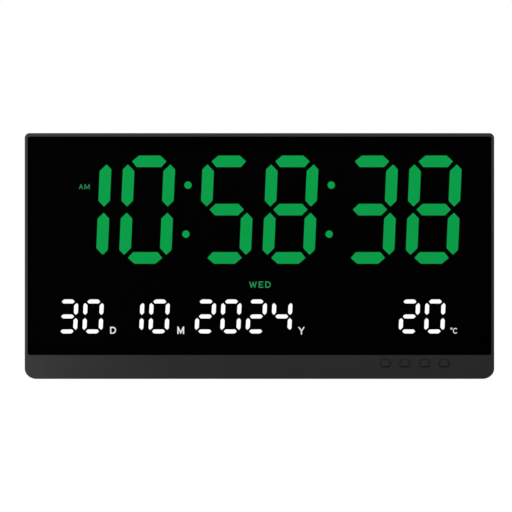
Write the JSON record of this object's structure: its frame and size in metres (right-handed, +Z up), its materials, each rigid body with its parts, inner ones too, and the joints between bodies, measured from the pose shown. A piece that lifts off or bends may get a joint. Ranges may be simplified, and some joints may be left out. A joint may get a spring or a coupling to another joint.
{
  "type": "digital wall clock",
  "caption": "Wide wall clock with lit, leaning bar figures behind a smoked front panel, press keys in its chin, and a rear cover with keyholes, a plug bay and a turning battery cap.",
  "frame": {"origin": "on the wall plane, midway between the entry holes of the two keyholes", "axes": "+Z up, +Y from the clock into the wall, +X to the right as the clock is seen from the front"},
  "size_m": [0.38, 0.0307, 0.199],
  "materials": {
    "frame_plastic": "fine moulded texture, charcoal",
    "smoked_acrylic": "polished, see-through black",
    "foam_tape": "closed-cell foam",
    "reflector_plastic": "matt black",
    "green_light": "lit translucent resin",
    "white_light": "lit translucent resin",
    "dark_bar": "unlit tinted resin",
    "circuit_board": "solder mask",
    "led_package": "clear resin",
    "chip_epoxy": "moulded epoxy",
    "bright_metal": "bright nickel",
    "screw_steel": "zinc-plated",
    "capacitor_sleeve": "shrunk sleeve",
    "sensor_bead": "epoxy bead",
    "inner_plastic": "moulded",
    "connector_plastic": "moulded nylon",
    "cable_sheath": "flat cable",
    "key_plastic": "fine moulded texture, charcoal",
    "cover_plastic": "spark-eroded texture, black"
  },
  "bodies": {
    "case": {"front_frame": "frame_plastic", "front_panel": "smoked_acrylic", "panel_tape": "foam_tape", "reflector": "reflector_plastic", "time_bars_lit": "green_light", "time_bars_dark": "dark_bar", "date_bars_lit": "white_light", "date_bars_dark": "dark_bar", "legend_bars": "dark_bar", "led_board": "circuit_board", "green_leds": "led_package", "white_leds": "led_package", "control_chip": "chip_epoxy", "driver_chips": "chip_epoxy", "crystal": "bright_metal", "smoothing_capacitor": "capacitor_sleeve", "buzzer": "inner_plastic", "temperature_sensor": "sensor_bead", "coin_cell_holder": "inner_plastic", "cell_contacts": "bright_metal", "coin_cell": "bright_metal", "power_jack": "inner_plastic", "jack_pin": "bright_metal", "key_board": "circuit_board", "key_switches": "inner_plastic", "cable_connectors": "connector_plastic", "key_cable": "cable_sheath", "board_screws": "screw_steel", "rear_cover": "cover_plastic", "cover_screws": "screw_steel"},
    "set_key": {"set_key": "key_plastic", "set_plunger": "inner_plastic"},
    "down_key": {"down_key": "key_plastic", "down_plunger": "inner_plastic"},
    "up_key": {"up_key": "key_plastic", "up_plunger": "inner_plastic"},
    "mode_key": {"mode_key": "key_plastic", "mode_plunger": "inner_plastic"},
    "battery_cap": {"battery_cap": "cover_plastic"}
  },
  "joints": [
    {"name": "set_press", "type": "slide", "parent": "case", "child": "set_key", "axis": [0, 1, 0], "range_m": [0, 0.0005], "stiffness_N_per_m": 2500, "springref_m": -0.0003},
    {"name": "down_press", "type": "slide", "parent": "case", "child": "down_key", "axis": [0, 1, 0], "range_m": [0, 0.0005], "stiffness_N_per_m": 2500, "springref_m": -0.0003},
    {"name": "up_press", "type": "slide", "parent": "case", "child": "up_key", "axis": [0, 1, 0], "range_m": [0, 0.0005], "stiffness_N_per_m": 2500, "springref_m": -0.0003},
    {"name": "mode_press", "type": "slide", "parent": "case", "child": "mode_key", "axis": [0, 1, 0], "range_m": [0, 0.0005], "stiffness_N_per_m": 2500, "springref_m": -0.0003},
    {"name": "battery_cap_turn", "type": "hinge", "parent": "case", "child": "battery_cap", "pos_m": [-0.11, 0, -0.074], "axis": [0, 1, 0], "range_deg": [0, 60]}
  ]
}
